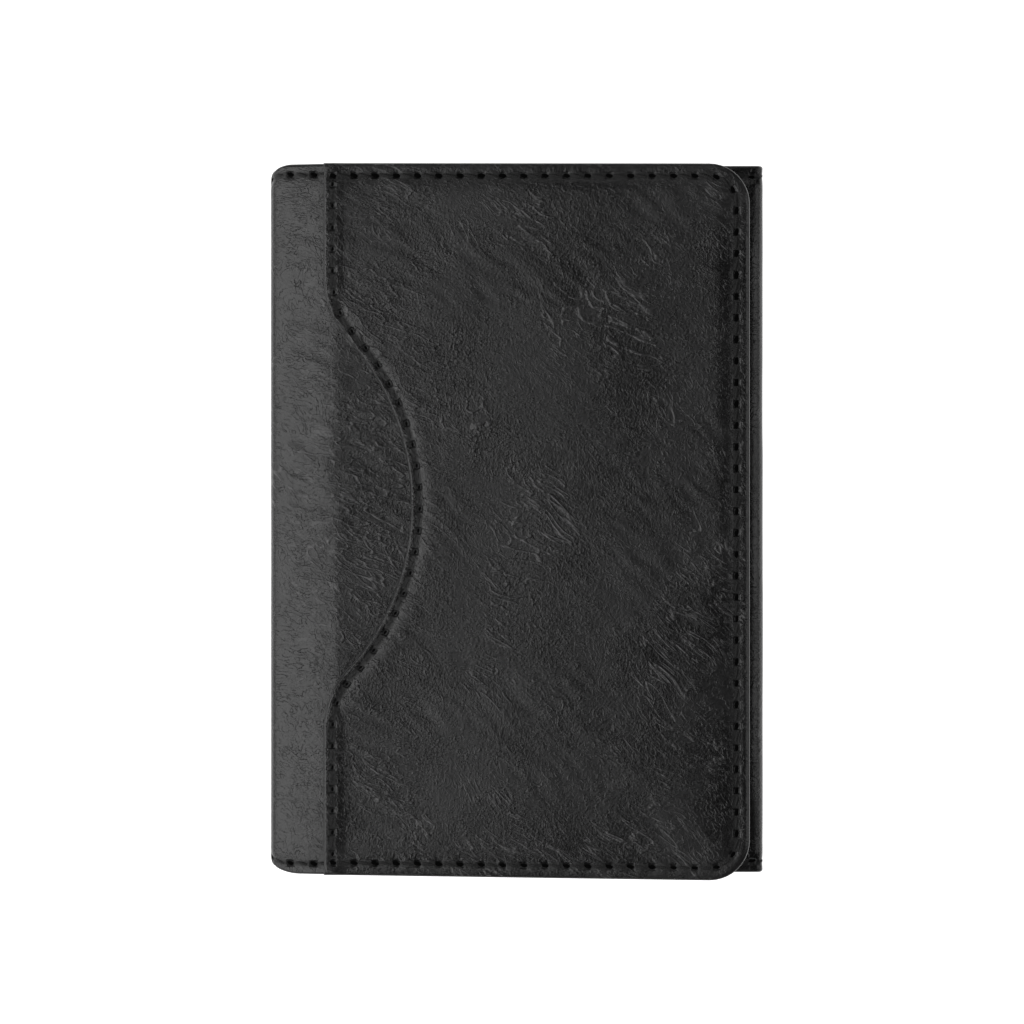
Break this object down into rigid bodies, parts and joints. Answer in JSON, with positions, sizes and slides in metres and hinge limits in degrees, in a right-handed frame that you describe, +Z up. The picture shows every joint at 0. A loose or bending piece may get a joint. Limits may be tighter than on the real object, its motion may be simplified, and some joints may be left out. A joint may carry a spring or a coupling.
{
  "type": "bifold wallet",
  "caption": "Slim upright bifold wallet in leather with an outer thumb-cut card pocket, inner card slots and a note sleeve; the flap folds open flat.",
  "frame": {"origin": "under the middle of the closed wallet, on the surface it lies on", "axes": "+X from the spine to the opposite fold, +Y from the bottom edge to the top edge, +Z up from the back cover to the front flap"},
  "size_m": [0.0696, 0.1, 0.0136],
  "materials": {
    "shell_leather": "pull-up leather, fine grain, semi-gloss",
    "pocket_leather": "pull-up leather, fine grain, semi-gloss, painted edge",
    "slot_leather": "thin skived leather, satin",
    "lining": "fine woven lining, matt",
    "stiffener": "fibre board, matt",
    "thread": "waxed polyester thread"
  },
  "bodies": {
    "back_cover": {"back_shell": "shell_leather", "back_board": "stiffener", "back_lining": "lining", "leaf_slot": "slot_leather", "leaf_slot_thread": "thread", "leaf_thread_top": "thread", "leaf_thread_bottom": "thread", "back_thread_top": "thread", "back_thread_bottom": "thread"},
    "spine": {"spine_shell": "shell_leather", "spine_lining": "lining", "spine_thread_top": "thread", "spine_thread_bottom": "thread"},
    "crease_strip": {"strip_shell": "shell_leather", "strip_lining": "lining", "strip_thread_top": "thread", "strip_thread_bottom": "thread"},
    "front_flap": {"flap_shell": "shell_leather", "flap_board": "stiffener", "flap_lining": "lining", "flap_slot_rear": "slot_leather", "flap_slot_front": "slot_leather", "flap_slot_thread_rear": "thread", "flap_slot_thread_front": "thread", "outer_pocket": "pocket_leather", "outer_pocket_lining": "lining", "flap_thread": "thread", "mouth_thread": "thread"}
  },
  "joints": [
    {"name": "rear_fold", "type": "hinge", "parent": "back_cover", "child": "spine", "pos_m": [-0.03399, 0, 0.00081], "axis": [0, -1, 0], "range_deg": [0, 90]},
    {"name": "front_fold", "type": "hinge", "parent": "spine", "child": "crease_strip", "pos_m": [-0.0341, 0, 0.00369], "axis": [0, -1, 0], "range_deg": [0, 66.6]},
    {"name": "crease", "type": "hinge", "parent": "crease_strip", "child": "front_flap", "pos_m": [-0.02523, 0, 0.0062], "axis": [0, -1, 0], "range_deg": [0, 18.2]}
  ],
  "couplings": [
    {"joint": "front_fold", "follows": "rear_fold", "ratio": 0.739},
    {"joint": "crease", "follows": "rear_fold", "ratio": 0.2011}
  ]
}
